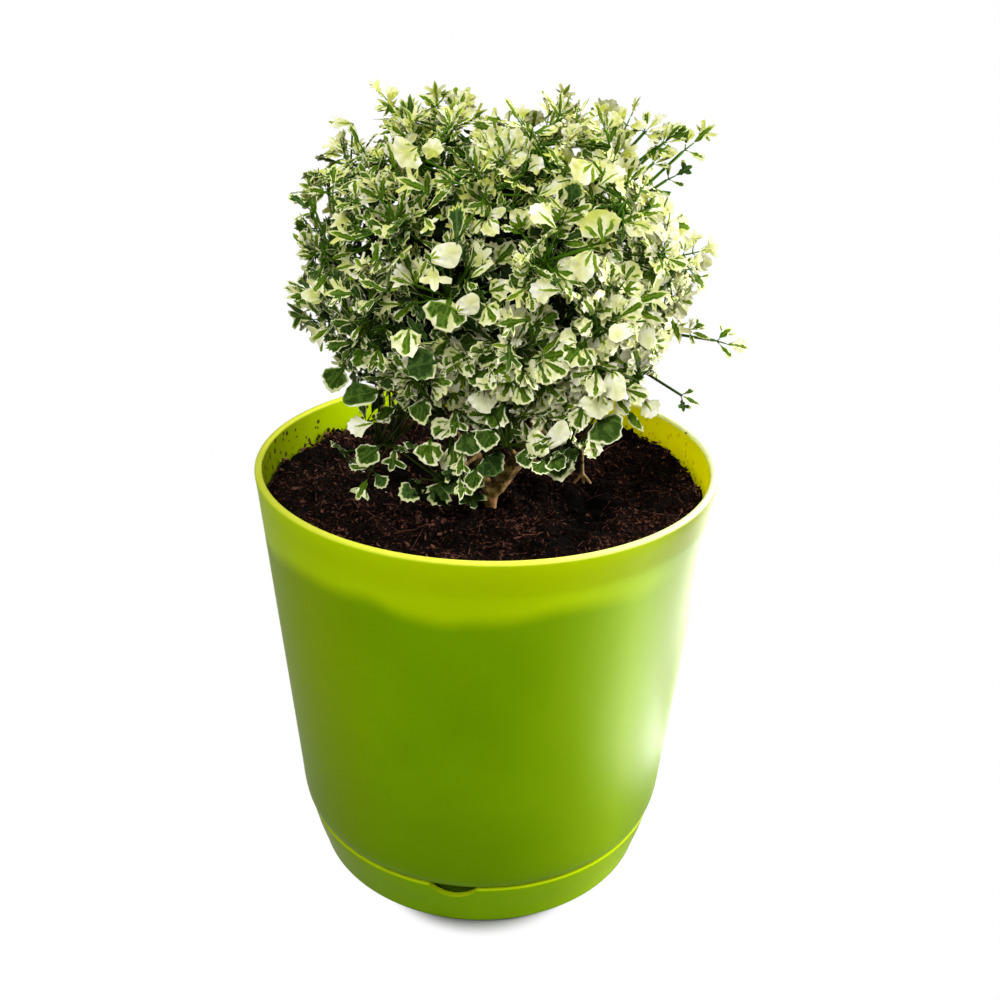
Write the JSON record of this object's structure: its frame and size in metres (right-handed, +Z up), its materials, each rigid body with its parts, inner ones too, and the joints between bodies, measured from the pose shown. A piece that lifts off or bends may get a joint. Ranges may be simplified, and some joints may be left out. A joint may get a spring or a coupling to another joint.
{
  "type": "potted aralia",
  "caption": "Bushy variegated aralia with a forked woody stem, growing in dark potting mix in a tapered round plastic pot that stands on a clip-on drip tray.",
  "frame": {"origin": "middle of the drip tray's flat foot", "axes": "+Z up, -Y towards the front, where the tray's finger notch is, +X to the right seen from the front"},
  "size_m": [0.16, 0.16, 0.279],
  "materials": {
    "lime_plastic": "glossy moulded lime green polypropylene",
    "cocopeat": "matt, coarse, fibrous dark coir",
    "bark": "matt ridged bark",
    "leaf": "waxy variegated leaf, green with cream margins, on green stalks",
    "dry_wood": "matt dry stalk"
  },
  "bodies": {
    "root": {"drip_tray": "lime_plastic", "dry_twig": "dry_wood", "leaf_spray_01": "leaf", "leaf_spray_02": "leaf", "leaf_spray_03": "leaf", "leaf_spray_04": "leaf", "leaf_spray_05": "leaf", "leaf_spray_06": "leaf", "leaf_spray_07": "leaf", "leaf_spray_08": "leaf", "leaf_spray_09": "leaf", "leaf_spray_10": "leaf", "leaf_spray_11": "leaf", "leaf_spray_12": "leaf", "leaf_spray_13": "leaf", "leaf_spray_14": "leaf", "leaf_spray_15": "leaf", "leaf_spray_16": "leaf", "leaf_spray_17": "leaf", "leaf_spray_18": "leaf", "leaf_spray_19": "leaf", "leaf_spray_20": "leaf", "leaf_spray_21": "leaf", "leaf_spray_22": "leaf", "leaf_spray_23": "leaf", "leaf_spray_24": "leaf", "leaf_spray_25": "leaf", "leaf_spray_26": "leaf", "leaf_spray_27": "leaf", "leaf_spray_28": "leaf", "leaf_spray_29": "leaf", "leaf_spray_30": "leaf", "leaf_spray_31": "leaf", "leaf_spray_32": "leaf", "leaf_spray_33": "leaf", "leaf_spray_34": "leaf", "leaf_spray_35": "leaf", "leaf_spray_36": "leaf", "leaf_spray_37": "leaf", "leaf_spray_38": "leaf", "leaf_spray_39": "leaf", "leaf_spray_40": "leaf", "planter_pot": "lime_plastic", "potting_soil": "cocopeat", "woody_stems": "bark"}
  },
  "joints": []
}
